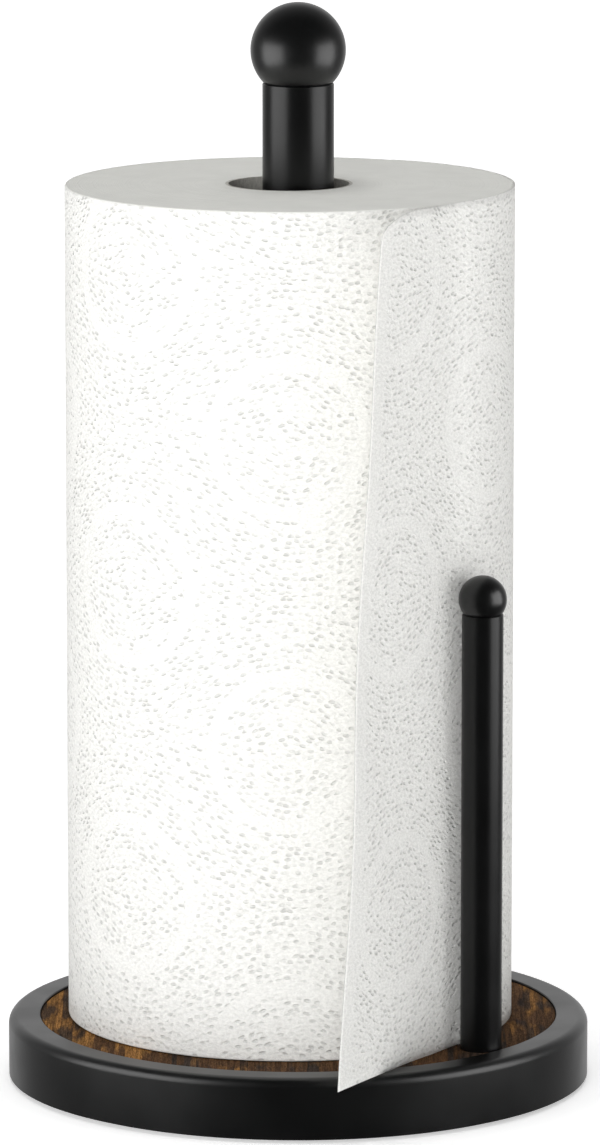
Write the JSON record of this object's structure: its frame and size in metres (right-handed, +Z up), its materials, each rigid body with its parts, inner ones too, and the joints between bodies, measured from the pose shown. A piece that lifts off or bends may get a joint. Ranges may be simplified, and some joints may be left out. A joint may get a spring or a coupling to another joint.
{
  "type": "paper towel holder",
  "caption": "Weighted round paper towel stand in black metal and wood, with a ball-topped post, a side arm and a roll whose free sheet is led past the arm.",
  "frame": {"origin": "on the table, under the middle of the post and of the round base", "axes": "+Z up along the post; the front is -Y; the side arm stands to the front right, 40.3 degrees from +X towards -Y"},
  "size_m": [0.194, 0.2121, 0.3601],
  "materials": {
    "black_metal": "satin",
    "wood_top": "satin",
    "iron": "matte",
    "zinc_steel": "satin",
    "pad_rubber": "matte",
    "core_board": "matte",
    "towel_roll": "matte",
    "towel_sheet": "matte"
  },
  "bodies": {
    "stand": {"base_shell": "black_metal", "wood_inlay": "wood_top", "ballast_disc": "iron", "bottom_cover": "black_metal", "cover_screws": "zinc_steel", "non_slip_pad": "pad_rubber", "post_tube": "black_metal", "post_foot_plug": "zinc_steel", "post_top_plug": "zinc_steel", "post_screw": "zinc_steel", "post_washer": "zinc_steel", "post_lock_washer": "zinc_steel", "knob_ball": "black_metal", "knob_stud": "zinc_steel", "arm_tube": "black_metal", "arm_foot_plug": "zinc_steel", "arm_top_plug": "zinc_steel", "arm_screw": "zinc_steel", "arm_washer": "zinc_steel", "arm_lock_washer": "zinc_steel", "arm_ball": "black_metal", "arm_stud": "zinc_steel"},
    "free_sheet": {"loose_sheet": "towel_sheet"},
    "roll": {"roll_core": "core_board", "roll_paper": "towel_roll"}
  },
  "joints": [
    {"name": "roll_lift", "type": "slide", "parent": "stand", "child": "free_sheet", "axis": [0, 0, 1], "range_m": [0, 0.36]},
    {"name": "roll_spin", "type": "hinge", "parent": "free_sheet", "child": "roll", "pos_m": [-0.00305, 0.00259, 0], "axis": [0, 0, 1], "continuous": true}
  ]
}
